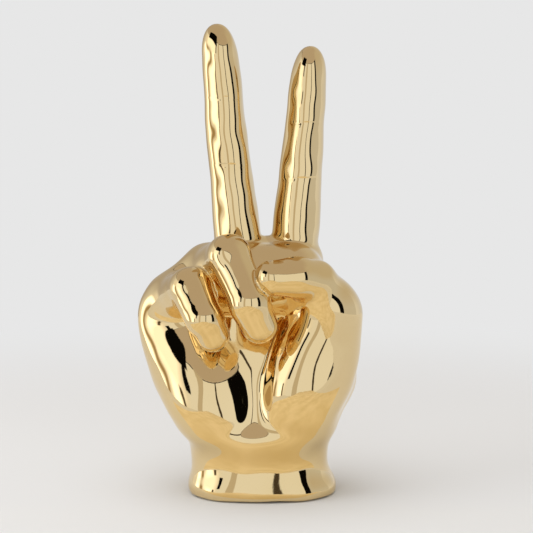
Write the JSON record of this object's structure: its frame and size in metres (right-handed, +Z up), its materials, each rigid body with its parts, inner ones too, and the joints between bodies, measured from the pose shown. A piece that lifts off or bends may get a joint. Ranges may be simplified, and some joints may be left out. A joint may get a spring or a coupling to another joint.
{
  "type": "hand sculpture",
  "caption": "Hollow ceramic hand that stands on its wrist, with the index and middle fingers raised in a V and the thumb folded over against the ring finger.",
  "frame": {"origin": "on the table, under the middle of the foot", "axes": "+X across the palm towards the thumb, +Y from the palm to the back of the hand, +Z up"},
  "size_m": [0.1739, 0.1103, 0.3602],
  "materials": {
    "gold_lustre": "mirror-polished gold lustre",
    "bisque": "bare fired clay",
    "felt": "pressed felt"
  },
  "bodies": {
    "root": {"hand_body": "gold_lustre", "middle_finger": "gold_lustre", "index_finger": "gold_lustre", "ring_finger": "gold_lustre", "little_finger": "gold_lustre", "thumb": "gold_lustre", "base_slab": "bisque", "felt_base": "felt"}
  },
  "joints": []
}
